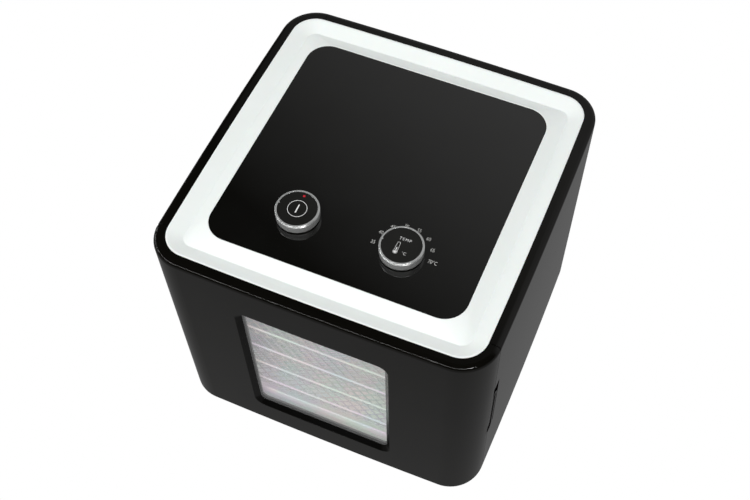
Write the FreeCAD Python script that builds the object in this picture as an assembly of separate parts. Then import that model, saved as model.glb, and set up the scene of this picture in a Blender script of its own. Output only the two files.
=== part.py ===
"""Box-shaped food dehydrator with a side-hinged glazed door, six trays and a rear fan.

Millimetres, +Z up, +Y to the back. The origin is on the floor under the middle of the cabinet.
"""
import FreeCAD, Part
import math
import os

os.makedirs("parts", exist_ok=True)

V = FreeCAD.Vector
X_AXIS = V(1, 0, 0)
Y_AXIS = V(0, 1, 0)
Z_AXIS = V(0, 0, 1)
TALL = 400.0             # longer than anything it cuts
SMALL_GAP = 0.3          # between two pieces that only face each other
RUNNING = 0.05           # radial clearance of a turning or sliding fit

# Cabinet outline: four slightly bowed walls joined by round corners
width = 340.0            # across the middles of two opposite walls
wall_rise = 1.25         # how far a wall bows out between its corners
corner_r = 37.0
foot_h = 8.0
rim_top = 285.0
rim_width = 11.65
rim_thick = 6.0
rim_round = 5.5          # outer top edge
skin = 2.5
seam = 132.5             # where a wall runs into its corner, and panels meet
panel_gap = 0.4
door_gap = 0.8
door_back = -(seam + door_gap + 0.1)
body_front = -(seam + 0.1)

bow_r = (seam ** 2 + wall_rise ** 2) / (2 * wall_rise)
bow_offset = bow_r - width / 2
corner_c = (math.sqrt(2 * (bow_r - corner_r) ** 2 - bow_offset ** 2) - bow_offset) / 2
bow_angle = math.atan2(corner_c, bow_offset + corner_c)

# White top frame, a shallow gutter round the control panel
gutter_half = 143.0
gutter_depth = 6.7
frame_bottom = 275.3
panel_half_x = 127.5
panel_half_y = 127.0
panel_corner_r = 22.8
panel_thick = 4.0
panel_ledge = 6.0
panel_fit = 0.15

# Door and window
window_half = 78.0
window_low = 42.5
window_high = 238.75
window_r = 12.0
bezel_side = 5.25
bezel_low = 6.4
bezel_front = -169.4
pane_front = -165.0
pane_thick = 3.0
pane_lap = 5.0
inner_plate_back = -160.0
inner_thick = 2.0
recess_half = 143.0
recess_low = 18.0
recess_high = 267.0
flange_back = -134.6
flange_thick = 1.5
seal_thick = 1.9
door_low = foot_h + SMALL_GAP
door_screw_r = 1.4

# Hinge on the left, its axis inside the door's rounded end
post_r = 4.5
hinge_y = door_back - post_r
hinge_x = -(corner_c + math.sqrt((corner_r - post_r) ** 2 - (hinge_y + corner_c) ** 2))
hinge_levels = {"lower": 34.0, "upper": 256.0}
pin_r = 1.5
pin_half = 9.0
leaf_thick = 2.0
leaf_r = 3.6
leaf_slot_r = 9.0
neck_half = 1.7          # from the axis to the neck's outer side
pad_reach = 16.0
pad_half = 9.0
leaf_play = 0.4
hinge_screw_r = 1.4
rim_swing_r = 6.8        # rim behind the axis stays inside this, to clear the white frame

# Finger pull across the right seam
pull_y = -130.0
pull_z = 143.0
pull_w = 16.0
pull_h = 84.0
pull_thick = 3.5
pull_dish = 0.8
notch_back = -119.7
notch_low = pull_z - pull_h / 2 + pull_w / 2
notch_high = 200.0
notch_gap = 0.5
pocket_low = pull_z - pull_h / 2 - notch_gap
pocket_x = 150.0

# Magnetic catch beside the pull
magnet_x = 139.0
strike_x = 146.0
catch_w = 7.0
catch_half = 16.0

# Drying chamber
liner_in = 134.5
liner_thick = 1.5
chamber_low = 20.5
chamber_high = 265.0
front_frame_back = -128.4
baffle_y = 100.0
motor_plate_y = 131.5
rail_w = 9.0
rail_thick = 1.5

# Trays
tray_count = 6
tray_pitch = 36.6
tray_first_top = 78.0
tray_half = 130.0
tray_front = -155.0
tray_back = 95.0
tray_h = 12.0
tray_wall = 2.2
tray_floor = 2.0
tray_corner_r = 8.0
cell_x = 34.0
cell_y = 34.0
cell_bar = 3.0
drip_low = 24.3
drip_wall_h = 8.0
drip_front_h = 30.0

# Controls
power_x = -52.0
temp_x = 51.7
control_y = -75.9
knob_r = 20.9
knob_wall = 2.0
knob_low = rim_top + 1.5
knob_top = rim_top + 11.2
knob_chamfer = 0.7
cap_thick = 1.8
cap_drop = 0.4
light_r = 1.2
spring_r = 5.6
spring_wire_r = 0.4
spring_turns = 4
switch_half = 8.0
switch_top = 277.0
button_stem_low = 273.4
dial_hub_r = 6.0
dial_shaft_low = 270.5
dial_shaft_top = 292.0
pot_half = 9.0
pot_top = 276.0
board_half_x = 75.0
board_half_y = 26.0
spacer_r = 3.0
spacer_inset = 5.0
stem_r = 3.0
pcb_low = 267.6
pcb_thick = 1.6
light_offset = 15.0

# Rear compartment
fan_z = 142.5
fan_y = 114.0            # middle of the blades
fan_r = 72.0
fan_blades = 6
blade_chord = 26.0
blade_thick = 1.6
blade_twist = 26.0       # degrees
hub_r = 12.0
hub_half = 7.0
shaft_r = 2.0
shaft_back = 155.5
motor_r = 30.0
motor_neck_r = 6.0
motor_back = 157.0
shroud_r = 90.0
shroud_wall = 1.2
coil_r = 81.0
coil_tube_r = 3.2
coil_gap = 12.0          # degrees, open at the bottom for the terminals
coil_end_x = 8.0
coil_end_back = 140.0
clip_w = 8.0
clip_turn = 60.0         # degrees either side of the top
cutout_w = 28.0
cutout_z = (222.0, 236.0)
cutout_back = 141.0
probe_x = 100.0
probe_z = 236.0
probe_r = 2.5
baffle_slot_w = 6.0
baffle_slot_h = 22.0
baffle_pitch_x = 24.0
baffle_pitch_z = 30.0
baffle_reach = 118.0     # slots further than this from the fan's axis are left out
vent_ring_r = 52.0
vent_r = 11.0
vent_count = 10

# Rear panel, feet and fixings
rear_slot_w = 36.0
rear_slot_h = 4.0
rear_slot_pitch_x = 48.0
rear_slot_pitch_z = 12.0
rear_slot_rows = 9
rear_screw_r = 1.5
rear_screw_head_r = 3.3
rear_screw_seat = 168.3
rear_post_half = 6.0
inlet_x = 112.0
inlet_z = 40.0
inlet_r = 7.0
cord_r = 4.0
foot_places = [(x, y) for x in (-120, 120) for y in (-112, 120)]
foot_r = 12.0
foot_well_r = 5.0
foot_well = 3.5
foot_screw_r = 2.0
base_slot_w = 80.0
base_slot_h = 4.0
base_slot_pitch = 12.0
base_slot_rows = 5
base_slot_first = 10.0


def save(node, shape):
    """Write one piece as its own file, named after its node."""
    shape.exportStep("parts/" + node + ".step")


def group(solids):
    """Several separate solids that share one node."""
    return Part.makeCompound(solids)


def box(x0, x1, y0, y1, z0, z1):
    return Part.makeBox(x1 - x0, y1 - y0, z1 - z0, V(x0, y0, z0))


def rod(x, y, z0, z1, r):
    return Part.makeCylinder(r, z1 - z0, V(x, y, z0), Z_AXIS)


def rod_y(x, z, y0, y1, r):
    return Part.makeCylinder(r, y1 - y0, V(x, y0, z), Y_AXIS)


def tube_y(x, z, y0, y1, r_out, r_in):
    return rod_y(x, z, y0, y1, r_out).cut(rod_y(x, z, y0 - 1, y1 + 1, r_in))


def outline(inset, z):
    """Closed wire round the cabinet, a given distance inside its outer surface, from the front wall on."""
    reach = bow_r - inset
    far = reach * math.cos(bow_angle) - bow_offset
    near = reach * math.sin(bow_angle)
    middle = width / 2 - inset
    diagonal = corner_c + (corner_r - inset) / math.sqrt(2)
    edges = []
    for quarter in range(4):
        turn = FreeCAD.Rotation(Z_AXIS, 90 * (quarter - 1))
        points = [(far, -near), (middle, 0), (far, near), (diagonal, diagonal), (near, far)]
        a, b, c, d, e = [turn.multVec(V(x, y, 0)) + V(0, 0, z) for x, y in points]
        edges.append(Part.Arc(a, b, c).toShape())
        edges.append(Part.Arc(c, d, e).toShape())
    return Part.Wire(edges)


def prism(inset, z0, z1):
    """Solid with the cabinet's plan shape."""
    return Part.Face(outline(inset, z0)).extrude(V(0, 0, z1 - z0))


def rounded_wire(u0, u1, v0, v1, r, at):
    """Rectangle with round corners; at(u, v) places a point in space."""
    k = r * (1 - 1 / math.sqrt(2))
    rows = [
        ((u0 + r, v0), (u1 - r, v0), (u1 - k, v0 + k), (u1, v0 + r)),
        ((u1, v0 + r), (u1, v1 - r), (u1 - k, v1 - k), (u1 - r, v1)),
        ((u1 - r, v1), (u0 + r, v1), (u0 + k, v1 - k), (u0, v1 - r)),
        ((u0, v1 - r), (u0, v0 + r), (u0 + k, v0 + k), (u0 + r, v0)),
    ]
    edges = []
    for start, end, middle, corner in rows:
        if (at(*end) - at(*start)).Length > 1e-6:
            edges.append(Part.makeLine(at(*start), at(*end)))
        edges.append(Part.Arc(at(*end), at(*middle), at(*corner)).toShape())
    return Part.Wire(edges)


def flat_wire(half_x, y0, y1, r, z):
    return rounded_wire(-half_x, half_x, y0, y1, r, lambda u, v: V(u, v, z))


def flat_plate(half_x, y0, y1, r, z0, z1):
    return Part.Face(flat_wire(half_x, y0, y1, r, z0)).extrude(V(0, 0, z1 - z0))


def window_wire(grow, grow_low, y):
    """The window's outline on an upright plane, grown at its sides and at its bottom."""
    r = max(window_r + grow, 2.0)
    return rounded_wire(-window_half - grow, window_half + grow,
                        window_low - grow_low, window_high + grow, r, lambda u, v: V(u, y, v))


def window_plate(grow, y0, y1):
    return Part.Face(window_wire(grow, grow, y0)).extrude(V(0, y1 - y0, 0))


def pill(w, h, x0, x1):
    """Upright slot shape through the right wall."""
    def place(u, v):
        return V(x0, u, v)
    wire = rounded_wire(pull_y - w / 2, pull_y + w / 2, pull_z - h / 2, pull_z + h / 2, w / 2, place)
    return Part.Face(wire).extrude(V(x1 - x0, 0, 0))


def wall_ring(rim_inset, z_low):
    """All four outer walls and the rim as one ring, before it is divided into panels."""
    outer = prism(0, z_low, rim_top)
    top_edges = [e for e in outer.Edges if e.BoundBox.ZMin > rim_top - 0.01]
    outer = outer.makeFillet(rim_round, top_edges)
    hollow = prism(skin, z_low - 1, rim_top - rim_thick)
    return outer.cut(hollow).cut(prism(rim_inset, z_low - 1, rim_top + 1))


def screw(x, y, z, axis, length, r):
    """Pan-head screw: its head stands at the point and its shank runs along the axis."""
    head = Part.makeCylinder(2 * r, r, V(x, y, z) - axis * r, axis)
    return head.fuse(Part.makeCylinder(r, length, V(x, y, z), axis))


def make_outer_panels():
    ring = wall_ring(rim_width - panel_gap / 4, foot_h)
    rear_zone = box(-seam - panel_gap / 2, seam + panel_gap / 2, 100, 200, 0, TALL)
    right = ring.common(box(0, 200, body_front, 200, 0, TALL)).cut(rear_zone)
    left = ring.common(box(-200, 0, body_front, 200, 0, TALL)).cut(rear_zone)
    notch = box(140, 200, body_front - 1, notch_back, notch_low, notch_high)
    notch = notch.fuse(pill(pull_w + 2 * notch_gap, pull_h + 2 * notch_gap, 140, 200))
    save("side_panel_left", left)
    save("side_panel_right", right.cut(notch))

    rear = ring.common(box(-seam + panel_gap / 2, seam - panel_gap / 2, 100, 200, 0, TALL))
    for row in range(rear_slot_rows):
        for x in (-rear_slot_pitch_x / 2, rear_slot_pitch_x / 2):
            z = fan_z + rear_slot_pitch_z * (row - (rear_slot_rows - 1) / 2)
            rear = rear.cut(box(x - rear_slot_w / 2, x + rear_slot_w / 2, 160, 180,
                                z - rear_slot_h / 2, z + rear_slot_h / 2))
    rear = rear.cut(rod_y(inlet_x, inlet_z, 160, 180, inlet_r))
    for x, z in rear_screw_places():
        rear = rear.cut(rod_y(x, z, 160, 180, rear_screw_r + 0.1))
        rear = rear.cut(rod_y(x, z, rear_screw_seat, 180, rear_screw_head_r))
    save("rear_panel", rear)


def rear_screw_places():
    return [(x, z) for x in (-118, 118) for z in (62, 262)]


def make_rear_fixings():
    """Upright posts that the rear panel screws into, the screws, and the cord's grommet."""
    posts = []
    screws = []
    for x, z in rear_screw_places():
        post = box(x - rear_post_half, x + rear_post_half, motor_plate_y + liner_thick, 166,
                   z - rear_post_half, z + rear_post_half)
        posts.append(post.cut(rod_y(x, z, 150, 167, rear_screw_r)))
        screws.append(screw(x, rear_screw_seat, z, V(0, -1, 0), 14.0, rear_screw_r))
    save("rear_posts", group(posts))
    save("rear_screws", group(screws))
    neck = tube_y(inlet_x, inlet_z, 164.0, 169.3, inlet_r - 0.1, cord_r)
    flange = tube_y(inlet_x, inlet_z, 169.3, 169.95, inlet_r + 2.5, cord_r)
    save("cord_grommet", neck.fuse(flange).removeSplitter())


def make_top():
    gutter_z = rim_top - gutter_depth
    half = gutter_half
    blank = prism(rim_width, frame_bottom, rim_top)
    funnel = Part.makeLoft([
        outline(rim_width + 0.8, rim_top + 0.01),
        outline(width / 2 - half, gutter_z)], True, True)
    mound = Part.makeLoft([
        outline(width / 2 - half, gutter_z - 0.01),
        flat_wire(panel_half_x + 1.0, -panel_half_y - 1.0, panel_half_y + 1.0,
                  panel_corner_r + 1.0, rim_top)], True, True)
    frame = blank.cut(funnel.cut(mound))
    seat = rim_top - panel_thick
    fit = panel_fit
    frame = frame.cut(flat_plate(panel_half_x + fit, -panel_half_y - fit, panel_half_y + fit,
                                 panel_corner_r + fit, seat, rim_top + 1))
    frame = frame.cut(flat_plate(panel_half_x - panel_ledge, -panel_half_y + panel_ledge,
                                 panel_half_y - panel_ledge, panel_corner_r - panel_ledge,
                                 frame_bottom - 1, rim_top))
    save("top_frame", frame)

    panel = flat_plate(panel_half_x, -panel_half_y, panel_half_y, panel_corner_r, seat, rim_top)
    for x in (power_x, temp_x):
        panel = panel.cut(rod(x, control_y, seat - 1, rim_top + 1, stem_r + 1))
    save("control_panel", panel)


def make_base():
    inside = skin + 0.1
    plate = prism(inside, foot_h, foot_h + skin).common(box(-200, 200, body_front, 200, 0, TALL))
    feet = []
    screws = []
    for x, y in foot_places:
        plate = plate.cut(rod(x, y, 0, 20, foot_screw_r + 0.2))
        foot = Part.makeCone(foot_r - 2, foot_r, foot_h, V(x, y, 0), Z_AXIS)
        foot = foot.cut(rod(x, y, -1, foot_well, foot_well_r))
        feet.append(foot.cut(rod(x, y, 0, foot_h + 1, foot_screw_r + 0.2)))
        screws.append(screw(x, y, foot_well, Z_AXIS, 9.5, foot_screw_r))
    for row in range(base_slot_rows):
        y = base_slot_first + base_slot_pitch * row
        plate = plate.cut(box(-base_slot_w / 2, base_slot_w / 2,
                              y - base_slot_h / 2, y + base_slot_h / 2, 0, 20))
    save("base_plate", plate)
    save("feet", group(feet))
    save("foot_screws", group(screws))


def catch_box(x, y0, y1, grow):
    """The magnet's or the strike plate's place, grown sideways for its seat."""
    return box(x - grow, x + catch_w + grow, y0, y1, pull_z - catch_half - grow, pull_z + catch_half + grow)


def make_chamber():
    low = chamber_low
    high = chamber_high
    back = motor_plate_y - 0.1
    front = front_frame_back + 0.1
    for name, side in (("left", -1), ("right", 1)):
        wall = box(liner_in, liner_in + liner_thick, front, back, low - liner_thick, high + liner_thick)
        for top in rail_tops():
            wall = wall.fuse(box(liner_in - rail_w, liner_in, front, baffle_y - 2, top - rail_thick, top))
        if side < 0:
            wall = wall.mirror(V(0, 0, 0), X_AXIS)
        save("chamber_wall_" + name, wall.removeSplitter())
    reach = liner_in - 0.1
    save("chamber_floor", box(-reach, reach, front, back, low - liner_thick, low))
    save("chamber_ceiling", box(-reach, reach, front, back, high, high + liner_thick))

    frame = box(-165.8, 165.8, body_front + 0.2, front_frame_back, foot_h + skin + 0.2, 273.8)
    frame = frame.common(prism(skin + 0.1, 0, TALL))
    frame = frame.cut(box(-liner_in, liner_in, -140, -120, low, high))
    frame = frame.cut(box(pocket_x - 1, 200, -140, -120, pocket_low - 2, notch_high + 2))
    for level in hinge_levels.values():
        frame = frame.cut(hinge_neck(level, 0.1))
    for x, z in hinge_screw_places():
        frame = frame.cut(rod_y(x, z, -140, -120, hinge_screw_r))
    frame = frame.cut(catch_box(magnet_x, -140, -129.9, 0.1))
    save("front_frame", frame)
    save("door_magnet", catch_box(magnet_x, body_front + 0.2, -130, 0))

    wall = 1.5
    pocket = box(pocket_x, 166.1, body_front + 0.2, notch_back + wall, pocket_low - wall, notch_high + wall)
    hollow = box(pocket_x + wall, 170, -140, notch_back, pocket_low, notch_high)
    save("pull_pocket", pocket.cut(hollow).common(prism(skin + 0.1, 0, TALL)))


def rail_tops():
    levels = [tray_underside(n) - SMALL_GAP for n in range(tray_count)]
    return [drip_low - SMALL_GAP] + levels


def tray_underside(n):
    return tray_first_top + n * tray_pitch - tray_h


def lattice_holes(z, x_limit, y_low, y_high):
    """Diamond holes that fit inside a rectangle, in rows that are offset by half a cell."""
    half_x = (cell_x - cell_bar) / 2
    half_y = (cell_y - cell_bar) / 2
    middle = (y_low + y_high) / 2
    rows = int((y_high - y_low) / cell_y) + 1
    columns = int(2 * x_limit / cell_x) + 1
    wires = []
    for row in range(-rows, rows + 1):
        shift = cell_x / 2 * (row % 2)
        for column in range(-columns, columns + 1):
            x = column * cell_x + shift
            y = middle + row * cell_y / 2
            if abs(x) + half_x > x_limit or y - half_y < y_low or y + half_y > y_high:
                continue
            corners = [V(x - half_x, y, z), V(x, y - half_y, z), V(x + half_x, y, z), V(x, y + half_y, z)]
            wires.append(Part.makePolygon(corners + corners[:1]))
    return wires


def tray_rim(z0, z1):
    """Upright wall round a tray."""
    rim = flat_plate(tray_half, tray_front, tray_back, tray_corner_r, z0, z1)
    return rim.cut(flat_plate(tray_half - tray_wall, tray_front + tray_wall, tray_back - tray_wall,
                              tray_corner_r - tray_wall, z0 - 1, z1 + 1))


def tray_shape():
    """Tray standing on z = 0: an upright rim, and a diamond lattice that is held in it."""
    inner = tray_half - tray_wall
    outer = flat_wire(inner, tray_front + tray_wall, tray_back - tray_wall,
                      tray_corner_r - tray_wall, 0)
    holes = lattice_holes(0, inner - cell_bar, tray_front + tray_wall + cell_bar,
                          tray_back - tray_wall - cell_bar)
    lattice = Part.Face([outer] + holes).extrude(V(0, 0, tray_floor))
    return group([tray_rim(0, tray_h), lattice])


def make_trays():
    tray = tray_shape()
    for n in range(tray_count):
        placed = tray.copy()
        placed.translate(V(0, 0, tray_underside(n)))
        save("tray_" + str(n + 1), placed)
    wall = tray_wall
    top = drip_low + drip_wall_h
    lip = box(-tray_half + tray_corner_r, tray_half - tray_corner_r, tray_front, tray_front + wall,
              top - 1, drip_low + drip_front_h)
    rim = tray_rim(drip_low, top).fuse(lip).removeSplitter()
    pan = flat_plate(tray_half - wall, tray_front + wall, tray_back - wall, tray_corner_r - wall,
                     drip_low, drip_low + tray_floor)
    save("drip_tray", group([rim, pan]))


def hinge_neck(level, play):
    """Flat tongue of a hinge leaf, from behind the front frame to the hinge axis."""
    z0 = level - leaf_thick / 2 - play
    z1 = level + leaf_thick / 2 + play
    eye = rod(hinge_x, hinge_y, z0, z1, leaf_r)
    eye = eye.common(box(hinge_x - leaf_r, hinge_x + leaf_r, -150, body_front - 0.4, 0, TALL))
    neck = box(hinge_x - neck_half - play, hinge_x + leaf_r + play, hinge_y, front_frame_back + 2, z0, z1)
    return eye.fuse(neck).removeSplitter()


def hinge_screw_places():
    return [(hinge_x + 11, level + side * 5) for level in hinge_levels.values() for side in (-1, 1)]


def make_hinges():
    pins = []
    pad_back = front_frame_back + leaf_thick
    for name, level in hinge_levels.items():
        leaf = hinge_neck(level, 0)
        pad = box(hinge_x - neck_half, hinge_x + pad_reach, front_frame_back, pad_back,
                  level - pad_half, level + pad_half)
        leaf = leaf.fuse(pad).cut(rod(hinge_x, hinge_y, 0, TALL, pin_r))
        for x, z in hinge_screw_places():
            leaf = leaf.cut(rod_y(x, z, -130, -120, hinge_screw_r))
        save("hinge_leaf_" + name, leaf.removeSplitter())
        pins.append(rod(hinge_x, hinge_y, level - pin_half, level + pin_half, pin_r))
    screws = [screw(x, pad_back, z, V(0, -1, 0), 4.5, hinge_screw_r) for x, z in hinge_screw_places()]
    save("hinge_pins", group(pins))
    save("hinge_screws", group(screws))


def door_shell():
    zone = box(-200, 200, -200, door_back, 0, TALL)
    shell = wall_ring(rim_width - panel_gap, door_low).common(zone)
    shell = shell.fuse(prism(0.05, door_low, door_low + skin).common(zone))
    post = rod(hinge_x, hinge_y, door_low, rim_top - rim_thick, post_r)
    shell = shell.fuse(post).common(wall_envelope())
    kept = rod(hinge_x, hinge_y, 0, TALL, rim_swing_r)
    kept = kept.common(box(hinge_x, 0, -200, 0, 0, TALL)).fuse(rod(hinge_x, hinge_y, 0, TALL, post_r))
    swing_zone = box(-180, hinge_x + 12, hinge_y, 0, 0, TALL).cut(kept)
    shell = shell.cut(swing_zone)
    for level in hinge_levels.values():
        slot = leaf_thick / 2 + leaf_play
        shell = shell.cut(rod(hinge_x, hinge_y, level - slot, level + slot, leaf_slot_r))
        shell = shell.cut(rod(hinge_x, hinge_y, level - pin_half - SMALL_GAP,
                              level + pin_half + SMALL_GAP, pin_r + RUNNING))
    for x, z in door_screw_places():
        boss = rod_y(x, z, -165, flange_back - flange_thick, 4).common(prism(skin / 2, 0, TALL))
        shell = shell.fuse(boss).cut(rod_y(x, z, -143.5, -130, door_screw_r))
    shell = shell.cut(window_plate(0, -180, -150))
    return shell.cut(pill(pull_w, pull_h, 150, 180)).removeSplitter()


def door_screw_places():
    return [(x, z) for x in (-154.5, 155.5) for z in (50, 232)]


def wall_envelope():
    """The cabinet's whole outer shape, with its rounded top edge."""
    outer = prism(0, 0, rim_top)
    top_edges = [e for e in outer.Edges if e.BoundBox.ZMin > rim_top - 0.01]
    return outer.makeFillet(rim_round, top_edges)


def make_door():
    save("door_shell", door_shell())

    back = inner_plate_back
    front = back - inner_thick
    wall = inner_thick
    left = hinge_x + post_r + 0.4
    half = recess_half + 6
    inner = box(-half, half, front, back, door_low + skin + 0.1, rim_top - rim_thick - 0.1)
    inner = inner.common(prism(skin + 0.2, 0, TALL))
    recess = box(-recess_half - wall, recess_half + wall, back, flange_back,
                 recess_low - wall, recess_high + wall)
    flange = box(left, 165.5, flange_back - flange_thick, flange_back,
                 door_low + skin + 0.1, frame_bottom - 1.2).common(prism(skin + 0.2, 0, TALL))
    inner = inner.fuse(recess).fuse(flange)
    inner = inner.cut(box(-recess_half, recess_half, back, flange_back + 1, recess_low, recess_high))
    inner = inner.cut(window_plate(-bezel_side, -180, -150))
    inner = inner.cut(box(162.5, 170, -150, -130, pull_z - pull_h / 2 - 1, pull_z + pull_h / 2 + 1))
    inner = inner.cut(catch_box(strike_x, -135.7, -134, 0.1))
    for x, z in door_screw_places():
        inner = inner.cut(rod_y(x, z, -140, -130, door_screw_r))
    save("door_inner_panel", inner.removeSplitter())
    save("strike_plate", catch_box(strike_x, -135.6, flange_back, 0))

    flange_front = -166.9
    bezel = window_plate(0, bezel_front, flange_front).fuse(window_plate(6, flange_front, pane_front))
    reveal = Part.makeLoft([window_wire(-0.4, -0.4, bezel_front - 0.01),
                            window_wire(-bezel_side, -bezel_low, pane_front + 0.01)], True, True)
    save("window_bezel", bezel.cut(reveal).removeSplitter())
    pane = window_plate(0, pane_front, pane_front + pane_thick)
    save("window_pane", pane)
    save("window_gasket", window_plate(pane_lap, pane_front, pane_front + pane_thick).cut(pane))

    outer = recess_half + 8
    seal = box(-outer, outer, flange_back, flange_back + seal_thick, recess_low - 5, recess_high + 5)
    seal = seal.cut(box(-outer + 4, outer - 4, -140, -130, recess_low - 1.5, recess_high + 1.5))
    strike_clear = catch_box(strike_x, -140, -130, 0.7)
    save("door_seal", seal.cut(strike_clear))

    pull = prism(0, pull_z - pull_h, pull_z + pull_h).cut(prism(pull_thick, 0, TALL))
    pull = pull.common(pill(pull_w, pull_h, 150, 180))
    dish = prism(-1, 0, TALL).cut(prism(pull_dish, 0, TALL))
    pull = pull.cut(dish.common(pill(pull_w - 5, pull_h - 5, 150, 180)))
    save("door_pull", pull)

    screws = []
    for x, z in door_screw_places():
        screws.append(screw(x, flange_back, z, V(0, -1, 0), 8.0, door_screw_r))
    save("door_screws", group(screws))


def knob_ring(x):
    ring = rod(x, control_y, knob_low, knob_top, knob_r)
    edges = [e for e in ring.Edges if e.BoundBox.ZMin > knob_top - 0.01]
    ring = ring.makeChamfer(knob_chamfer, edges)
    ring = ring.cut(rod(x, control_y, knob_low - 1, knob_top + 1, knob_r - knob_wall))
    pointer = box(x - knob_r - 1, x - knob_r + 2.4, control_y - 0.6, control_y + 0.6,
                  knob_top - 0.8, knob_top + 1)
    return ring.cut(pointer)


def knob_cap(x, stem_low, stem_radius):
    """Disc that fills the ring, with its stem."""
    top = knob_top - cap_drop
    disc = rod(x, control_y, top - cap_thick, top, knob_r - knob_wall)
    return disc.fuse(rod(x, control_y, stem_low, top - cap_thick, stem_radius))


def square_block(x, half, top):
    """Component on the control board, under one of the controls."""
    return box(x - half, x + half, control_y - half, control_y + half, pcb_low + pcb_thick, top)


def button_spring(low, high):
    # Swept about the origin and placed afterwards, so it meshes closed wherever the button stands.
    height = high - low
    helix = Part.makeHelix(height / spring_turns, height, spring_r)
    section = Part.Wire([Part.makeCircle(spring_wire_r, V(spring_r, 0, 0), Y_AXIS)])
    coil = Part.Wire(helix.Edges).makePipeShell([section], True, True)
    coil.translate(V(power_x, control_y, low))
    return coil


def make_power_button():
    light_y = control_y + light_offset
    cap_top = knob_top - cap_drop
    cap_under = cap_top - cap_thick
    save("power_button_ring", knob_ring(power_x))
    cap = knob_cap(power_x, button_stem_low, stem_r)
    save("power_button_cap", cap.cut(rod(power_x, light_y, 280, 300, light_r)))
    save("power_light", rod(power_x, light_y, cap_under - 1, cap_top + 0.15, light_r))
    save("power_spring", button_spring(rim_top + 0.5, cap_under - 0.5))
    switch = square_block(power_x, switch_half, switch_top)
    save("power_switch", switch.cut(rod(power_x, control_y, 271, 280, stem_r + RUNNING)))


def make_temp_knob():
    save("temp_knob_ring", knob_ring(temp_x))
    hub = knob_cap(temp_x, knob_low + SMALL_GAP, dial_hub_r)
    save("temp_knob_cap", hub.cut(rod(temp_x, control_y, 280, dial_shaft_top, stem_r)))
    save("temp_shaft", rod(temp_x, control_y, dial_shaft_low, dial_shaft_top, stem_r))
    pot = square_block(temp_x, pot_half, pot_top)
    well = rod(temp_x, control_y, dial_shaft_low - 0.2, 280, stem_r + RUNNING)
    save("temp_potentiometer", pot.cut(well))


def make_control_board():
    save("control_board", box(-board_half_x, board_half_x, control_y - board_half_y,
                              control_y + board_half_y, pcb_low, pcb_low + pcb_thick))
    posts = []
    for x in (spacer_inset - board_half_x, board_half_x - spacer_inset):
        for y in (spacer_inset - board_half_y, board_half_y - spacer_inset):
            posts.append(rod(x, control_y + y, chamber_high + liner_thick, pcb_low, spacer_r))
    save("board_spacers", group(posts))


def fan_blade_wheel():
    wheel = rod_y(0, fan_z, fan_y - hub_half, fan_y + hub_half, hub_r)
    for n in range(fan_blades):
        blade = Part.makeBox(blade_chord, blade_thick, fan_r - hub_r + 1,
                             V(-blade_chord / 2, -blade_thick / 2, hub_r - 1))
        blade.rotate(V(0, 0, 0), Z_AXIS, blade_twist)
        blade.translate(V(0, fan_y, 0))
        blade.rotate(V(0, 0, 0), Y_AXIS, n * 360 / fan_blades)
        blade.translate(V(0, 0, fan_z))
        wheel = wheel.fuse(blade)
    return wheel.cut(rod_y(0, fan_z, baffle_y, motor_plate_y, shaft_r)).removeSplitter()


def inner_wall(y):
    """Upright sheet across the chamber."""
    reach = liner_in - 0.2
    return box(-reach, reach, y, y + liner_thick, chamber_low + 0.1, chamber_high - 0.1)


def make_inner_walls():
    baffle = inner_wall(baffle_y)
    for row in range(-3, 4):
        for column in range(-4, 5):
            x = column * baffle_pitch_x
            z = fan_z + row * baffle_pitch_z
            if math.hypot(x, z - fan_z) < baffle_reach:
                baffle = baffle.cut(box(x - baffle_slot_w / 2, x + baffle_slot_w / 2, 90, 110,
                                        z - baffle_slot_h / 2, z + baffle_slot_h / 2))
    save("rear_baffle", baffle)

    plate = inner_wall(motor_plate_y).cut(rod_y(0, fan_z, 120, 140, motor_neck_r + 2))
    for n in range(vent_count):
        turn = 2 * math.pi * n / vent_count
        plate = plate.cut(rod_y(vent_ring_r * math.sin(turn), fan_z + vent_ring_r * math.cos(turn),
                                120, 140, vent_r))
    for x in (-coil_end_x, coil_end_x):
        plate = plate.cut(rod_y(x, fan_z - coil_r, 120, 140, coil_tube_r + 0.4))
    save("motor_plate", plate)


def make_fan():
    plate_back = motor_plate_y + liner_thick
    motor = rod_y(0, fan_z, plate_back, motor_back, motor_r)
    motor = motor.fuse(rod_y(0, fan_z, plate_back - 6, plate_back, motor_neck_r))
    save("fan_motor", motor.cut(rod_y(0, fan_z, 120, shaft_back + 0.5, shaft_r + RUNNING)))
    save("fan_shaft", rod_y(0, fan_z, fan_y - hub_half - 1, shaft_back, shaft_r))
    save("fan_wheel", fan_blade_wheel())
    save("fan_shroud", tube_y(0, fan_z, baffle_y + liner_thick, motor_plate_y,
                              shroud_r, shroud_r - shroud_wall))


def make_heater():
    coil = Part.makeTorus(coil_r, coil_tube_r, V(0, 0, 0), Z_AXIS, -180, 180, 360 - coil_gap)
    coil.rotate(V(0, 0, 0), X_AXIS, 90)
    coil.rotate(V(0, 0, 0), Y_AXIS, 90 + coil_gap / 2)
    coil.translate(V(0, fan_y, fan_z))
    for x in (-coil_end_x, coil_end_x):
        coil = coil.fuse(rod_y(x, fan_z - coil_r, fan_y - 2, coil_end_back, coil_tube_r))
    save("heater_coil", coil.removeSplitter())
    clips = []
    for turn in (-clip_turn, clip_turn):
        clip = box(-clip_w / 2, clip_w / 2, fan_y - 11, fan_y + 4.5,
                   coil_r + coil_tube_r + 0.1, shroud_r - shroud_wall - 0.1)
        clip.rotate(V(0, 0, 0), Y_AXIS, turn)
        clip.translate(V(0, 0, fan_z))
        clips.append(clip)
    save("heater_clips", group(clips))
    save("thermal_cutout", box(-cutout_w / 2, cutout_w / 2, motor_plate_y + liner_thick, cutout_back,
                               *cutout_z))
    save("temperature_probe", rod_y(probe_x, probe_z, baffle_y - 12, baffle_y, probe_r))


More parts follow.
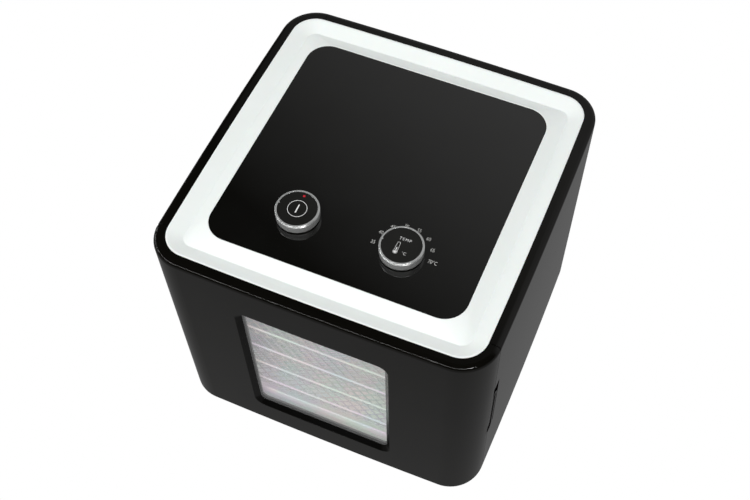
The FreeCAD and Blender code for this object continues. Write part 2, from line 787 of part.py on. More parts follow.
make_outer_panels()
make_rear_fixings()
make_top()
make_base()
make_chamber()
make_trays()
make_hinges()
make_door()
make_power_button()
make_temp_knob()
make_control_board()
make_inner_walls()
make_fan()
make_heater()
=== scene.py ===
import math

import bmesh
import bpy
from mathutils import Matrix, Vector


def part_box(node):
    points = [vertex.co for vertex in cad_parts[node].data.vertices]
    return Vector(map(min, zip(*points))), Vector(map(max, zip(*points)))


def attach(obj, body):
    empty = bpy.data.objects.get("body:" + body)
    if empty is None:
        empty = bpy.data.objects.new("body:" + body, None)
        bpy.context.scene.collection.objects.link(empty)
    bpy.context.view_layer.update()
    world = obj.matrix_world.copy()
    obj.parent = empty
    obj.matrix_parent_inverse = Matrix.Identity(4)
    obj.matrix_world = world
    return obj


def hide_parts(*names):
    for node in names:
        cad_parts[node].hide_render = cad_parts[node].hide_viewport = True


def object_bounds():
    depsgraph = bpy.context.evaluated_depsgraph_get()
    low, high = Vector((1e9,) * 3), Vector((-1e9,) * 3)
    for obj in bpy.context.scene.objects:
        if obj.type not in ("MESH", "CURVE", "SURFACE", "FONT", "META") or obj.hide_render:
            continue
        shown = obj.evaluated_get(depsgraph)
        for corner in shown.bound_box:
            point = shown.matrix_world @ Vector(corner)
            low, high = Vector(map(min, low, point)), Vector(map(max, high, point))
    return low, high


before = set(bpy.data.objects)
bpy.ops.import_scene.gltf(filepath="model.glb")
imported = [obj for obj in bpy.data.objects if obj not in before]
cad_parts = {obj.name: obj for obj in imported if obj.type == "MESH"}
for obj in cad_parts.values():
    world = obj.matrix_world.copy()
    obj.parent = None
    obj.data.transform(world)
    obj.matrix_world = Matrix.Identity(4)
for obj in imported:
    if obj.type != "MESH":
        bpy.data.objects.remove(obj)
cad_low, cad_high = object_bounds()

# ---------------------------------------------------------------- driving dimensions, in metres
MM = 0.001
SMALL_LIFT = 0.02 * MM           # printing stands this far off its surface

# the cabinet's plan shape
half_width = cad_high.x
wall_rise = 1.25 * MM
corner_r = 37.0 * MM
seam = 132.5 * MM
bow_r = (seam ** 2 + wall_rise ** 2) / (2 * wall_rise)
bow_offset = bow_r - half_width
corner_c = (math.sqrt(2 * (bow_r - corner_r) ** 2 - bow_offset ** 2) - bow_offset) / 2
bow_angle = math.atan2(corner_c, bow_offset + corner_c)
WALL_STEPS = 12
CORNER_STEPS = 12

# the white frame round the control panel
frame_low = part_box("top_frame")[0].z
rim_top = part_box("control_panel")[1].z
panel_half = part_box("control_panel")[1].xy
panel_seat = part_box("control_panel")[0].z
panel_r = 22.8 * MM
panel_ledge = 6.0 * MM
panel_fit = 0.15 * MM
rim_width = 11.65 * MM
rim_land = 1.7 * MM
gutter_inset = 27.0 * MM
gutter_depth = 6.7 * MM
crest_across = 30.0 * MM         # from the frame's outer edge to its inner crest
panel_across = 31.0 * MM         # and to the panel's edge

# trays
tray_count = 6
tray_wall = 1.6 * MM
tray_bead = 0.9 * MM
tray_r = 8.0 * MM
strand = 1.25 * MM
cell_wide = 12.6 * MM
cell_deep = 6.0 * MM
foot_reach = 1.2 * MM
drip_wall = 2.0 * MM
drip_side = 8.0 * MM
rib_count = 3
rib_start = 1.0 * MM
rib_pitch = 3.2 * MM
rib_depth = 0.5 * MM
rib_height = 1.2 * MM

# controls
knob_wall = 2.0 * MM
knob_chamfer = 0.6 * MM
groove_low = 2.2 * MM
groove_depth = 0.5 * MM
tab_half = 1.0 * MM
tab_reach = 1.2 * MM
dial_r = 28.2 * MM
dial_start = 35
dial_end = 70
dial_step = 5
digit_size = 5.4 * MM
word_size = 4.2 * MM
ink_thin = 0.05 * MM
fine_line = 0.45 * MM
power_mark_r = 9.0 * MM
power_bar_half = 4.7 * MM
power_bar_wide = 1.1 * MM

# studio brightness, as fill light and as reflections see it
floor_fill = 0.7
floor_gloss = 0.16
world_fill = 0.62
world_gloss = 0.36
gloss_least = 0.05
gloss_most = 0.9
strip_ring = 2.3                 # distance of the strip lamps from the object, in metres
strip_long = 0.85
strip_thin = 0.05
strip_lamps = [                  # turn in degrees, height in metres, watts
    (-95, 0.75, 2.2),
    (-75, 1.0, 2.2),
    (-55, 1.25, 2.2),
    (-35, 1.45, 2.2),
    (-15, 1.55, 2.2),
    (5, 1.6, 2.0),
    (25, 1.65, 2.4),
    (45, 1.7, 8.0),
]


# ---------------------------------------------------------------- mesh helpers
def new_object(name, mesh, body, material, smooth=True):
    """A finished piece: it rides on its body and has its finish."""
    piece = bpy.data.objects.new(name, mesh)
    bpy.context.scene.collection.objects.link(piece)
    piece.data.materials.clear()
    piece.data.materials.append(material)
    if smooth:
        mesh.shade_smooth()
    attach(piece, body)
    return piece


def mesh_from(name, bm):
    bmesh.ops.recalc_face_normals(bm, faces=bm.faces)
    mesh = bpy.data.meshes.new(name)
    bm.to_mesh(mesh)
    bm.free()
    return mesh


def sharpen(mesh, angle=math.radians(40)):
    """Edges that turn more than this stay crisp in a smooth mesh."""
    bm = bmesh.new()
    bm.from_mesh(mesh)
    for edge in bm.edges:
        edge.smooth = len(edge.link_faces) == 2 and edge.calc_face_angle(0.0) < angle
    bm.to_mesh(mesh)
    bm.free()


def add_loft(bm, loops, closed=False, caps=(False, False)):
    """Skins a list of point loops with quads, as a ring if closed."""
    rings = [[bm.verts.new(p) for p in loop] for loop in loops]
    pairs = list(zip(rings, rings[1:]))
    if closed:
        pairs.append((rings[-1], rings[0]))
    for first, second in pairs:
        for i in range(len(first)):
            j = (i + 1) % len(first)
            bm.faces.new((first[i], first[j], second[j], second[i]))
    if caps[0]:
        bm.faces.new(list(reversed(rings[0])))
    if caps[1]:
        bm.faces.new(rings[-1])


def rounded(profile, closed=True, steps=4):
    """A list of (a, b, radius) corners as a list of (a, b), each corner turned into an arc."""
    points = []
    count = len(profile)
    for i in range(count):
        here = Vector(profile[i][:2])
        radius = profile[i][2]
        if radius == 0 or (not closed and i in (0, count - 1)):
            points.append(here)
            continue
        before = Vector(profile[i - 1][:2]) - here
        after = Vector(profile[(i + 1) % count][:2]) - here
        half_turn = before.angle(after) / 2
        reach = min(radius / math.tan(half_turn), before.length / 2, after.length / 2)
        start = here + before.normalized() * reach
        end = here + after.normalized() * reach
        for k in range(steps + 1):
            t = k / steps
            points.append(start * (1 - t) ** 2 + here * 2 * t * (1 - t) + end * t ** 2)
    return points


def wall_loop(inset, z):
    """The cabinet's outline, a given distance inside its outer surface."""
    reach = bow_r - inset
    points = []
    for quarter in range(4):
        turn = math.radians(90 * quarter)
        local = []
        for i in range(WALL_STEPS):
            angle = bow_angle * (2 * i / WALL_STEPS - 1)
            local.append((reach * math.cos(angle) - bow_offset, reach * math.sin(angle)))
        for i in range(CORNER_STEPS):
            angle = bow_angle + (math.pi / 2 - 2 * bow_angle) * i / CORNER_STEPS
            local.append((corner_c + (corner_r - inset) * math.cos(angle),
                          corner_c + (corner_r - inset) * math.sin(angle)))
        for x, y in local:
            points.append(Vector((x * math.cos(turn) - y * math.sin(turn),
                                  x * math.sin(turn) + y * math.cos(turn), z)))
    return points


def plate_loop(low, high, radius, place):
    """A rectangle with round corners, with as many points as the cabinet's outline.

    place(u, v) puts a point of it in space.
    """
    radius = max(radius, 0.05 * MM)
    centres = [(high[0] - radius, low[1] + radius, high[0] - radius, high[1] - radius),
               (high[0] - radius, high[1] - radius, low[0] + radius, high[1] - radius),
               (low[0] + radius, high[1] - radius, low[0] + radius, low[1] + radius),
               (low[0] + radius, low[1] + radius, high[0] - radius, low[1] + radius)]
    points = []
    for quarter, (u0, v0, u1, v1) in enumerate(centres):
        out = math.radians(90 * quarter)
        for i in range(WALL_STEPS):
            t = i / WALL_STEPS
            points.append(place(u0 + (u1 - u0) * t + radius * math.cos(out),
                                v0 + (v1 - v0) * t + radius * math.sin(out)))
        for i in range(CORNER_STEPS):
            angle = out + math.pi / 2 * i / CORNER_STEPS
            points.append(place(u1 + radius * math.cos(angle), v1 + radius * math.sin(angle)))
    return points


def flat_loop(low, high, radius, z):
    return plate_loop(low, high, radius, lambda u, v: Vector((u, v, z)))


def mix_loops(a, b, t):
    return [p.lerp(q, t) for p, q in zip(a, b)]


def circle(x, y, z, r, count):
    return [Vector((x + r * math.cos(2 * math.pi * i / count),
                    y + r * math.sin(2 * math.pi * i / count), z)) for i in range(count)]


# ---------------------------------------------------------------- material helpers
class Graph:
    """A node tree with short ways to add nodes."""

    def __init__(self, tree):
        self.tree = tree
        tree.nodes.clear()

    def add(self, kind, inputs=(), **settings):
        node = self.tree.nodes.new(kind)
        for name, value in settings.items():
            setattr(node, name, value)
        for name, value in dict(inputs).items():
            if isinstance(value, bpy.types.NodeSocket):
                self.tree.links.new(value, node.inputs[name])
            else:
                node.inputs[name].default_value = value
        return node

    def math(self, operation, *values):
        inputs = dict(enumerate(values))
        return self.add("ShaderNodeMath", inputs, operation=operation).outputs[0]

    def object_place(self):
        return self.add("ShaderNodeTexCoord").outputs["Object"]

    def stretched(self, vector, scale):
        return self.add("ShaderNodeMapping", {"Vector": vector, "Scale": scale}).outputs[0]

    def noise(self, vector, scale, detail=3.0, roughness=0.55):
        inputs = {"Vector": vector, "Scale": scale, "Detail": detail, "Roughness": roughness}
        return self.add("ShaderNodeTexNoise", inputs).outputs["Fac"]

    def spread(self, value, low, high, from_low=0.3, from_high=0.7):
        inputs = {"Value": value, "From Min": from_low, "From Max": from_high,
                  "To Min": low, "To Max": high}
        return self.add("ShaderNodeMapRange", inputs).outputs[0]

    def tint(self, value, low, high, from_low=0.3, from_high=0.7):
        factor = self.spread(value, 0.0, 1.0, from_low, from_high)
        mix = self.add("ShaderNodeMix", {0: factor, 6: (*low, 1.0), 7: (*high, 1.0)}, data_type="RGBA")
        return mix.outputs[2]

    def soft_edges(self, radius):
        """Normals that round over sharp edges, as a mould does."""
        return self.add("ShaderNodeBevel", {"Radius": radius}, samples=4).outputs[0]

    def bump(self, height, distance, under=None):
        inputs = {"Height": height, "Distance": distance, "Strength": 1.0}
        if under is not None:
            inputs["Normal"] = under
        return self.add("ShaderNodeBump", inputs).outputs[0]

    def finish(self, shader):
        kind = "ShaderNodeOutputWorld" if self.tree.id_data.name == "studio" else "ShaderNodeOutputMaterial"
        output = self.tree.nodes.new(kind)
        self.tree.links.new(shader, output.inputs["Surface"])


def surface(name, build):
    """A material whose Principled shader gets its sockets from build(graph)."""
    material = bpy.data.materials.new(name)
    material.use_nodes = True
    graph = Graph(material.node_tree)
    shader = graph.add("ShaderNodeBsdfPrincipled", build(graph))
    graph.finish(shader.outputs[0])
    return material


def moulded(base_low, base_high, rough_low, rough_high, grain, depth, edge=0.0, **more):
    """Moulded or painted surface: soft colour drift, uneven gloss, a fine grain and eased edges."""
    def build(g):
        at = g.object_place()
        drift = g.noise(at, 18.0)
        fine = g.noise(at, grain, 2.0)
        sockets = {
            "Base Color": g.tint(drift, base_low, base_high),
            "Roughness": g.spread(fine, rough_low, rough_high),
            "Normal": g.bump(fine, depth, under=g.soft_edges(edge) if edge else None),
        }
        sockets.update({key.replace("_", " "): value for key, value in more.items()})
        return sockets
    return build


def brushed(base_low, base_high, rough_low, rough_high, scale, depth=0.02 * MM, **more):
    """Metal with fine lines; scale stretches the lines along an axis."""
    def build(g):
        lines = g.noise(g.stretched(g.object_place(), scale), 1.0, 4.0, 0.7)
        sockets = {
            "Base Color": g.tint(lines, base_low, base_high),
            "Roughness": g.spread(lines, rough_low, rough_high),
            "Normal": g.bump(lines, depth),
            "Metallic": 1.0,
        }
        sockets.update({key.replace("_", " "): value for key, value in more.items()})
        return sockets
    return build


def tray_tints(g, at):
    """Faint changing tints painted into its colour and glow, standing in for the colours light makes in
    pressed clear plastic.
    """
    patches = g.noise(g.stretched(at, (1.0, 0.7, 1.2)), 32.0, 2.0)
    other = g.noise(g.stretched(at, (0.8, 1.0, 1.1)), 24.0, 2.0)
    warm = g.tint(patches, (0.40, 0.52, 0.44), (0.56, 0.42, 0.45), 0.4, 0.6)
    cool = g.tint(other, (0.42, 0.42, 0.53), (0.48, 0.51, 0.45), 0.4, 0.6)
    return g.add("ShaderNodeMix", {0: 0.5, 6: warm, 7: cool}, data_type="RGBA").outputs[2]


def clear_tray(alpha, glow):
    """Milky plastic. Its own faint glow is painted light: it stands in for light coming through it."""
    def build(g):
        at = g.object_place()
        fine = g.noise(at, 160.0, 1.0)
        tints = tray_tints(g, at)
        return {
            "Base Color": tints,
            "Roughness": g.spread(fine, 0.10, 0.2),
            "IOR": 1.58,
            "Alpha": alpha,
            "Emission Color": tints,
            # painted light: the tray's own glow, in its tints
            "Emission Strength": glow,
            "Normal": g.bump(fine, 0.01 * MM),
        }
    return build


def clear_pane(g):
    """Clear window plastic."""
    fine = g.noise(g.object_place(), 300.0, 2.0)
    return {
        "Base Color": g.tint(fine, (0.96, 0.97, 0.97), (1.0, 1.0, 1.0)),
        "Roughness": g.spread(fine, 0.02, 0.05),
        "IOR": 1.45,
        "Alpha": 0.10,
    }


def printed(base):
    """Screen printing, slightly uneven in tone and gloss."""
    def build(g):
        ink = g.noise(g.object_place(), 2500.0, 2.0)
        low = tuple(0.8 * c for c in base)
        return {
            "Base Color": g.tint(ink, low, base),
            "Roughness": g.spread(ink, 0.4, 0.6),
        }
    return build


def board(g):
    """Green circuit board with a faint weave."""
    at = g.object_place()
    weave = g.noise(g.stretched(at, (1.0, 1.0, 0.1)), 1500.0, 2.0)
    return {
        "Base Color": g.tint(weave, (0.01, 0.09, 0.03), (0.02, 0.14, 0.05)),
        "Roughness": g.spread(weave, 0.35, 0.5),
        "Normal": g.bump(weave, 0.02 * MM),
    }


def make_materials():
    black = (0.002, 0.0018, 0.0013)
    recipes = {
        "case": moulded(black, (0.003, 0.0027, 0.002), 0.04, 0.065, 420.0, 0.002 * MM, edge=0.35 * MM),
        "control_gloss": moulded(black, (0.003, 0.003, 0.0025), 0.02, 0.035, 300.0, 0.0005 * MM,
                                 edge=0.3 * MM, IOR=2.0),
        "bezel_gloss": moulded(black, (0.003, 0.003, 0.003), 0.1, 0.16, 500.0, 0.002 * MM,
                               edge=0.4 * MM, Specular_IOR_Level=0.2),
        "white_trim": moulded((0.84, 0.865, 0.84), (0.86, 0.88, 0.86), 0.28, 0.38, 1400.0, 0.006 * MM,
                              Subsurface_Weight=0.05),
        "window_glass": clear_pane,
        "knob_metal": brushed((0.74, 0.75, 0.74), (0.86, 0.87, 0.86), 0.20, 0.28, (350.0, 350.0, 9000.0),
                              depth=0.0006 * MM, Metallic=0.72),
        "knob_disc": moulded((0.009, 0.009, 0.008), (0.012, 0.012, 0.011), 0.10, 0.14, 900.0, 0.002 * MM),
        "red_lens": moulded((0.30, 0.01, 0.02), (0.45, 0.02, 0.03), 0.12, 0.2, 1500.0, 0.002 * MM,
                            Emission_Color=(1.0, 0.03, 0.05, 1.0), Emission_Strength=0.12),
        # painted light: these tray finishes glow in place of light through the plastic; the bead's strong
        # glow is a painted highlight and the drip pan's glow brightens its front
        "tray_clear": clear_tray(0.9, 0.24),
        "tray_wall": clear_tray(0.12, 0.10),
        "tray_bead": clear_tray(1.0, 0.6),
        "drip_clear": clear_tray(1.0, 0.5),
        "chamber_sheet": brushed((0.55, 0.56, 0.57), (0.75, 0.76, 0.77), 0.3, 0.45, (40.0, 2500.0, 2500.0)),
        "inner_plastic": moulded((0.03, 0.03, 0.03), (0.04, 0.04, 0.04), 0.4, 0.55, 900.0, 0.02 * MM),
        "rubber": moulded((0.012, 0.012, 0.012), (0.02, 0.02, 0.02), 0.65, 0.85, 1200.0, 0.04 * MM),
        "seal_rubber": moulded((0.10, 0.10, 0.10), (0.14, 0.14, 0.14), 0.6, 0.8, 1200.0, 0.03 * MM),
        "steel": brushed((0.45, 0.45, 0.44), (0.68, 0.68, 0.67), 0.2, 0.38, (3000.0, 3000.0, 600.0)),
        "sheet_steel": brushed((0.45, 0.46, 0.47), (0.62, 0.63, 0.64), 0.3, 0.5, (60.0, 1800.0, 1800.0)),
        "motor_steel": brushed((0.35, 0.35, 0.36), (0.5, 0.5, 0.51), 0.35, 0.5, (900.0, 900.0, 200.0)),
        "heater_tube": brushed((0.22, 0.20, 0.19), (0.34, 0.30, 0.27), 0.4, 0.6, (700.0, 700.0, 700.0)),
        "fan_plastic": moulded((0.05, 0.05, 0.055), (0.065, 0.065, 0.07), 0.4, 0.55, 900.0, 0.02 * MM),
        "circuit_board": board,
        "magnet": moulded((0.06, 0.06, 0.065), (0.09, 0.09, 0.095), 0.5, 0.7, 1500.0, 0.03 * MM),
        "print_light": printed((0.62, 0.62, 0.60)),
        "print_bright": printed((0.85, 0.85, 0.84)),
    }
    return {name: surface(name, build) for name, build in recipes.items()}


def dress_nodes(materials):
    """Every CAD node gets the finish of its slot."""
    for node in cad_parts.values():
        for held in node.material_slots:
            name = held.material.name.split(".")[0]
            held.material = materials[name]


# ---------------------------------------------------------------- pieces
def make_top_frame(materials):
    """White frame: a soft gutter between the black rim and the control panel."""
    gutter_z = rim_top - gutter_depth
    inner = panel_half.copy()

    def rect(grow, z=0.0):
        reach = (inner.x + grow, inner.y + grow)
        return flat_loop((-reach[0], -reach[1]), reach, panel_r + grow, z)

    stations = [
        (0.0, wall_loop(rim_width + 0.05 * MM, 0.0)),
        (rim_land, wall_loop(rim_width + rim_land, 0.0)),
        (gutter_inset - rim_width, wall_loop(gutter_inset, 0.0)),
        (crest_across, rect(panel_across - crest_across)),
        (panel_across - panel_fit, rect(panel_fit)),
        (panel_across + panel_ledge, rect(-panel_ledge)),
    ]

    def loop_at(across, z):
        for (a, first), (b, second) in zip(stations, stations[1:]):
            if across <= b or b == stations[-1][0]:
                loop = mix_loops(first, second, (across - a) / (b - a))
                return [Vector((p.x, p.y, z)) for p in loop]

    profile = rounded([
        (0.0, frame_low, 0.0),
        (0.0, rim_top - 0.1 * MM, 0.3 * MM),
        (rim_land, rim_top - 0.05 * MM, 0.6 * MM),
        (gutter_inset - rim_width, gutter_z, 1.6 * MM),
        (crest_across, rim_top - 0.02 * MM, 1.2 * MM),
        (panel_across - panel_fit, rim_top - 0.02 * MM, 0.25 * MM),
        (panel_across - panel_fit, panel_seat, 0.0),
        (panel_across + panel_ledge, panel_seat, 0.0),
        (panel_across + panel_ledge, frame_low, 0.0),
    ], steps=6)
    bm = bmesh.new()
    add_loft(bm, [loop_at(across, z) for across, z in profile], closed=True)
    mesh = mesh_from("white_frame", bm)
    sharpen(mesh)
    piece = new_object("white_frame", mesh, "cabinet", materials["white_trim"])
    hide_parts("top_frame")


def add_bar(bm, start, end, width, height):
    """Round strand; start and end are the middle of its underside."""
    along = (end - start).normalized()
    side = Vector((-along.y, along.x, 0.0)) * width / 2
    up = Vector((0.0, 0.0, height / 2))
    count = 8
    rings = []
    for at in (start + up, end + up):
        ring = []
        for i in range(count):
            angle = 2 * math.pi * i / count
            ring.append(bm.verts.new(at + side * math.cos(angle) + up * math.sin(angle)))
        rings.append(ring)
    for i in range(count):
        j = (i + 1) % count
        bm.faces.new((rings[0][i], rings[0][j], rings[1][j], rings[1][i]))
    bm.faces.new(list(reversed(rings[0])))
    bm.faces.new(rings[1])


def clip_line(offset, slope, low, high):
    """Ends of the line y = offset + slope * x inside a rectangle, or None."""
    crossings = sorted(((low.y - offset) / slope, (high.y - offset) / slope))
    x0 = max(low.x, crossings[0])
    x1 = min(high.x, crossings[1])
    if x1 - x0 < cell_wide / 2:
        return None
    return (x0, offset + slope * x0), (x1, offset + slope * x1)


def add_lattice(bm, low, high, z):
    """Two crossing layers of strands over a rectangle."""
    middle = (low + high) / 2
    slope = cell_deep / cell_wide
    reach = (high.y - low.y) / 2 + slope * (high.x - low.x) / 2
    count = int(reach / cell_deep) + 1
    for layer, lean in enumerate((slope, -slope)):
        level = z + layer * strand * 0.8
        for i in range(-count, count + 1):
            ends = clip_line(middle.y + i * cell_deep, lean, low, high)
            if ends:
                start, end = (Vector((x, y, level)) for x, y in ends)
                add_bar(bm, start, end, strand, strand)


def rim_loops(low, high, profile):
    """Loops round a tray: the profile's first value is the distance inside its outer face."""
    return [flat_loop((low.x + inset, low.y + inset), (high.x - inset, high.y - inset),
                      tray_r - inset, z) for inset, z in profile]


def make_tray_rim(n, low, high, materials):
    """Clear upright wall, with a rounded bead along its top edge and a foot below. The bead's brightness is
    a painted highlight from its glowing material.
    """
    corners = [
        (0.0, low.z, 0.3 * MM),
        (0.0, high.z - tray_bead, 0.1 * MM),
        (0.0, high.z, 0.4 * MM),
        (tray_wall, high.z, 0.4 * MM),
        (tray_wall, high.z - tray_bead, 0.1 * MM),
        (tray_wall, low.z + 2.2 * MM, 0.8 * MM),
        (tray_wall + foot_reach, low.z + 1.2 * MM, 0.4 * MM),
        (tray_wall + foot_reach, low.z, 0.3 * MM),
    ]
    profile = rounded(corners, steps=3)
    top = high.z - tray_bead

    bm = bmesh.new()
    add_loft(bm, rim_loops(low, high, profile), closed=True)
    name = f"rim_tray_{n}"
    mesh = mesh_from(name, bm)
    sharpen(mesh)
    new_object(name, mesh, f"tray_{n}", materials["tray_wall"])
    # the bead's faces get the glowing bead material: a painted highlight along the rim's top
    mesh.materials.append(materials["tray_bead"])
    for face in mesh.polygons:
        face.material_index = int(face.center.z >= top)


def make_tray_lattice(n, low, high, materials):
    inset = Vector((tray_wall, tray_wall)) / 2
    bm = bmesh.new()
    add_lattice(bm, low.xy + inset, high.xy - inset, low.z)
    name = f"lattice_tray_{n}"
    mesh = mesh_from(name, bm)
    piece = new_object(name, mesh, f"tray_{n}", materials["tray_clear"])
    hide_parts(f"tray_{n}")


def make_trays(materials):
    for n in range(1, tray_count + 1):
        low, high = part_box(f"tray_{n}")
        make_tray_rim(n, low, high, materials)
        make_tray_lattice(n, low, high, materials)


def make_drip_tray(materials):
    """Smooth tray under the others, with a tall ribbed front. Its glowing material is painted light that
    brightens it.
    """
    low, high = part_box("drip_tray")
    wall = drip_wall
    side_top = low.z + drip_side
    profile = rounded([
        (tray_r * 1.5, low.z, 0.0),
        (0.0, low.z, 1.2 * MM),
        (0.0, side_top, 0.6 * MM),
        (wall, side_top, 0.6 * MM),
        (wall, low.z + wall, 1.0 * MM),
        (tray_r * 1.5, low.z + wall, 0.0),
    ], closed=False, steps=4)
    bm = bmesh.new()
    add_loft(bm, rim_loops(low, high, profile), caps=(True, True))
    outline = [(0.0, side_top - rib_start, 0.0)]
    for i in range(rib_count):
        z = side_top + rib_start + rib_pitch * i
        outline += [
            (0.0, z, 0.2 * MM),
            (rib_depth, z + rib_depth, 0.2 * MM),
            (0.0, z + rib_height, 0.2 * MM),
        ]
    outline += [(0.0, high.z, 0.9 * MM), (wall, high.z, 0.9 * MM), (wall, side_top - rib_start, 0.0)]
    section = rounded(outline, steps=3)
    ends = [[Vector((x, low.y + y, z)) for y, z in section] for x in (low.x + tray_r, high.x - tray_r)]
    add_loft(bm, ends, caps=(True, True))
    mesh = mesh_from("drip_pan", bm)
    sharpen(mesh)
    piece = new_object("drip_pan", mesh, "drip_drawer", materials["drip_clear"])
    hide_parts("drip_tray")


def make_knob_ring(name, node, body, materials):
    """Turned ring with a groove under its bright top edge, and a small pointer tab at its left."""
    low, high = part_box(node)
    centre = (low + high) / 2
    radius = (high.x - low.x) / 2
    profile = rounded([
        (radius - knob_wall, low.z, 0.0),
        (radius, low.z, 0.3 * MM),
        (radius, high.z - groove_low, 0.15 * MM),
        (radius - groove_depth, high.z - groove_low + groove_depth, 0.05 * MM),
        (radius, high.z - knob_chamfer, 0.25 * MM),
        (radius - knob_chamfer, high.z, 0.35 * MM),
        (radius - knob_wall, high.z, 0.2 * MM),
    ], steps=4)
    count = 192
    loops = []
    for r, z in profile:
        loops.append(circle(centre.x, centre.y, z, r, count))
    bm = bmesh.new()
    add_loft(bm, loops, closed=True)
    inner = centre.x - radius + knob_wall
    tab = [(inner - 0.2 * MM, -tab_half), (inner + tab_reach, -0.15 * MM), (inner + tab_reach, 0.15 * MM),
           (inner - 0.2 * MM, tab_half)]
    add_loft(bm, [[Vector((x, centre.y + y, z)) for x, y in tab]
                  for z in (high.z - 0.38 * MM, high.z - 0.03 * MM)], caps=(True, True))
    mesh = mesh_from(name, bm)
    sharpen(mesh)
    piece = new_object(name, mesh, body, materials["knob_metal"])
    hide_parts(node)
    return centre


def join_pieces(name, objects):
    """One mesh from several text or mesh objects, which are removed."""
    bm = bmesh.new()
    for held in objects:
        bpy.context.view_layer.update()
        mesh = bpy.data.meshes.new_from_object(held)
        mesh.transform(held.matrix_world)
        bm.from_mesh(mesh)
        bpy.data.objects.remove(held)
    return mesh_from(name, bm)


def text(words, size, x, y, z, narrow=1.0, spacing=1.0, thin=0.0):
    """Flat lettering centred on a point, read from the front."""
    curve = bpy.data.curves.new(words, "FONT")
    curve.body = words
    curve.size = size
    curve.align_x = "CENTER"
    curve.align_y = "CENTER"
    curve.resolution_u = 4
    curve.extrude = SMALL_LIFT
    curve.space_character = spacing
    curve.offset = -thin
    held = bpy.data.objects.new(words, curve)
    held.location = (x, y, z)
    held.scale.x = narrow
    bpy.context.scene.collection.objects.link(held)
    return held


def stroke(points, width, z, closed=False):
    """Flat line of even width through points in the plane."""
    bm = bmesh.new()
    rows = []
    count = len(points)
    for i, point in enumerate(points):
        before = points[i - 1] if closed or i > 0 else point
        after = points[(i + 1) % count] if closed or i < count - 1 else point
        along = (after - before).normalized()
        side = Vector((-along.y, along.x)) * width / 2
        rows.append([bm.verts.new((*(point + s * side), z + lift))
                     for s, lift in ((-1, 0), (1, 0), (1, SMALL_LIFT), (-1, SMALL_LIFT))])
    pairs = list(zip(rows, rows[1:]))
    if closed:
        pairs.append((rows[-1], rows[0]))
    for a, b in pairs:
        for i in range(4):
            j = (i + 1) % 4
            bm.faces.new((a[i], a[j], b[j], b[i]))
    if not closed:
        bm.faces.new(list(reversed(rows[0])))
        bm.faces.new(rows[-1])
    held = bpy.data.objects.new("stroke", mesh_from("stroke", bm))
    bpy.context.scene.collection.objects.link(held)
    return held


def arc(x, y, r, start, end, count):
    points = []
    for i in range(count + 1):
        angle = math.radians(start + (end - start) * i / count)
        points.append(Vector((x + r * math.cos(angle), y + r * math.sin(angle))))
    return points


def make_prints(power, temp, top, materials):
    """Power mark on the button, thermometer and words on the dial, numbers on the panel."""
    lift = top + SMALL_LIFT
    marks = [
        stroke(arc(power.x, power.y, power_mark_r, 0, 360, 64)[:-1], fine_line, lift, closed=True),
        stroke([Vector((power.x, power.y - power_bar_half)),
                Vector((power.x, power.y + power_bar_half))], power_bar_wide, lift),
    ]
    mesh = join_pieces("power_mark", marks)
    new_object("power_mark", mesh, "power_button", materials["print_bright"], smooth=False)

    tube_x = temp.x - 3.0 * MM
    bulb_y = temp.y - 8.2 * MM
    tube_top = temp.y + 1.2 * MM
    half = 1.35 * MM
    outer = arc(tube_x, tube_top, half, 0, 180, 12)
    outer += arc(tube_x, bulb_y, 2.1 * MM, 140, 400, 24)
    marks = [
        stroke(outer, fine_line * 0.6, lift, closed=True),
        stroke(arc(tube_x, bulb_y, 0.75 * MM, 0, 360, 16)[:-1], 1.5 * MM, lift, closed=True),
        stroke([Vector((tube_x, bulb_y)), Vector((tube_x, tube_top - 4.5 * MM))], 0.8 * MM, lift),
        text("TEMP", word_size, temp.x + 1.0 * MM, temp.y + 6.8 * MM, lift, spacing=1.25, thin=ink_thin),
        text("°C", word_size, temp.x + 5.0 * MM, temp.y - 7.5 * MM, lift, thin=ink_thin),
    ]
    mesh = join_pieces("dial_mark", marks)
    new_object("dial_mark", mesh, "temp_knob", materials["print_bright"], smooth=False)

    numbers = []
    steps = (dial_end - dial_start) // dial_step
    for i in range(steps + 1):
        angle = math.pi * (1 - i / steps)
        words = str(dial_start + dial_step * i)
        x = temp.x + dial_r * math.cos(angle)
        if i == steps:
            words += "°C"
            x += 2.0 * MM
        y = temp.y + dial_r * math.sin(angle)
        numbers.append(text(words, digit_size, x, y, rim_top + SMALL_LIFT, narrow=0.8, thin=ink_thin))
    mesh = join_pieces("dial_numbers", numbers)
    new_object("dial_numbers", mesh, "cabinet", materials["print_light"], smooth=False)


def make_controls(materials):
    power = make_knob_ring("power_ring", "power_button_ring", "power_button", materials)
    temp = make_knob_ring("dial_ring", "temp_knob_ring", "temp_knob", materials)
    cap_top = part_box("temp_knob_cap")[1].z
    make_prints(power, temp, cap_top, materials)


# ---------------------------------------------------------------- studio
def make_world():
    """White surroundings. Reflections see them dimmer, fading from the back to the front."""
    world = bpy.data.worlds.new("studio")
    bpy.context.scene.world = world
    world.use_nodes = True
    g = Graph(world.node_tree)
    way = g.add("ShaderNodeSeparateXYZ", {0: g.add("ShaderNodeTexCoord").outputs["Generated"]})
    slant = g.math("MULTIPLY_ADD", way.outputs["X"], 1.1, -1.5)
    seen = g.math("MULTIPLY_ADD", way.outputs["Y"], 4.1, slant)
    gloss = g.math("MINIMUM", g.math("MAXIMUM", seen, gloss_least), gloss_most)
    gloss = g.math("MULTIPLY", gloss, world_gloss)
    path = g.add("ShaderNodeLightPath")
    lit = g.add("ShaderNodeMix", {0: path.outputs["Is Glossy Ray"], 2: world_fill, 3: gloss})
    strength = g.add("ShaderNodeMix", {0: path.outputs["Is Camera Ray"], 2: lit.outputs[0], 3: 1.0})
    background = g.add("ShaderNodeBackground", {"Strength": strength.outputs[0]})
    g.finish(background.outputs[0])


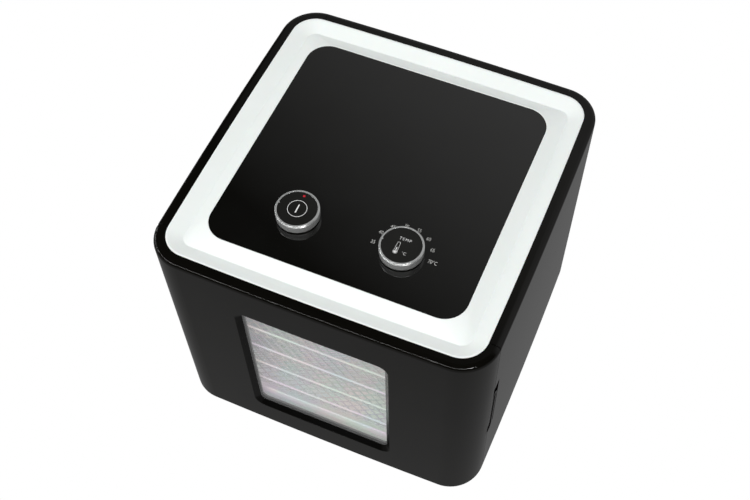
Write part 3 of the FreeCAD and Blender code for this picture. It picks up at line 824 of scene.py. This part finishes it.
def make_floor():
    """Plain white floor, the same all over. Reflections see it dimmer than the camera does."""
    mesh = bpy.data.meshes.new("floor")
    reach = 6.0
    mesh.from_pydata([(-reach, -reach, 0), (reach, -reach, 0), (reach, reach, 0), (-reach, reach, 0)],
                     [], [(0, 1, 2, 3)])
    floor = bpy.data.objects.new("floor", mesh)
    bpy.context.scene.collection.objects.link(floor)
    material = bpy.data.materials.new("floor")
    material.use_nodes = True
    mesh.materials.append(material)
    g = Graph(material.node_tree)
    path = g.add("ShaderNodeLightPath")
    lit = g.add("ShaderNodeMix", {0: path.outputs["Is Glossy Ray"], 2: floor_fill, 3: floor_gloss})
    strength = g.add("ShaderNodeMix", {0: path.outputs["Is Camera Ray"], 2: lit.outputs[0], 3: 1.0})
    glow = g.add("ShaderNodeEmission", {"Strength": strength.outputs[0]})
    g.finish(glow.outputs[0])


def add_lamp(name, place, target, wide, deep, watts, gloss):
    light = bpy.data.lights.new(name, "AREA")
    light.shape = "RECTANGLE"
    light.size = wide
    light.size_y = deep
    light.energy = watts
    lamp = bpy.data.objects.new(name, light)
    lamp.location = place
    lamp.rotation_euler = (Vector(target) - Vector(place)).to_track_quat("-Z", "Y").to_euler()
    lamp.visible_camera = False
    lamp.visible_glossy = gloss
    bpy.context.scene.collection.objects.link(lamp)


def make_lights():
    centre = (0.0, 0.0, 0.25)
    add_lamp("key", (-0.25, -1.05, 1.95), centre, 1.2, 1.2, 22.0, False)
    for turn, height, watts in strip_lamps:
        angle = math.radians(turn)
        place = (strip_ring * math.sin(angle), -strip_ring * math.cos(angle), height)
        add_lamp(f"strip_{turn}", place, centre, strip_long, strip_thin, watts, True)


def make_camera():
    data = bpy.data.cameras.new("camera")
    data.lens = 53.53
    data.sensor_width = 36.0
    data.shift_x = -0.0322
    data.shift_y = 0.0242
    camera = bpy.data.objects.new("camera", data)
    camera.location = (0.25922, -0.57673, 1.13786)
    camera.rotation_euler = (math.radians(31.60), 0.0, math.radians(22.74))
    bpy.context.scene.collection.objects.link(camera)
    bpy.context.scene.camera = camera


def main():
    materials = make_materials()
    dress_nodes(materials)
    make_top_frame(materials)
    make_trays(materials)
    make_drip_tray(materials)
    make_controls(materials)
    make_world()
    make_floor()
    make_lights()
    make_camera()
    bpy.context.scene.view_settings.view_transform = "Standard"


main()
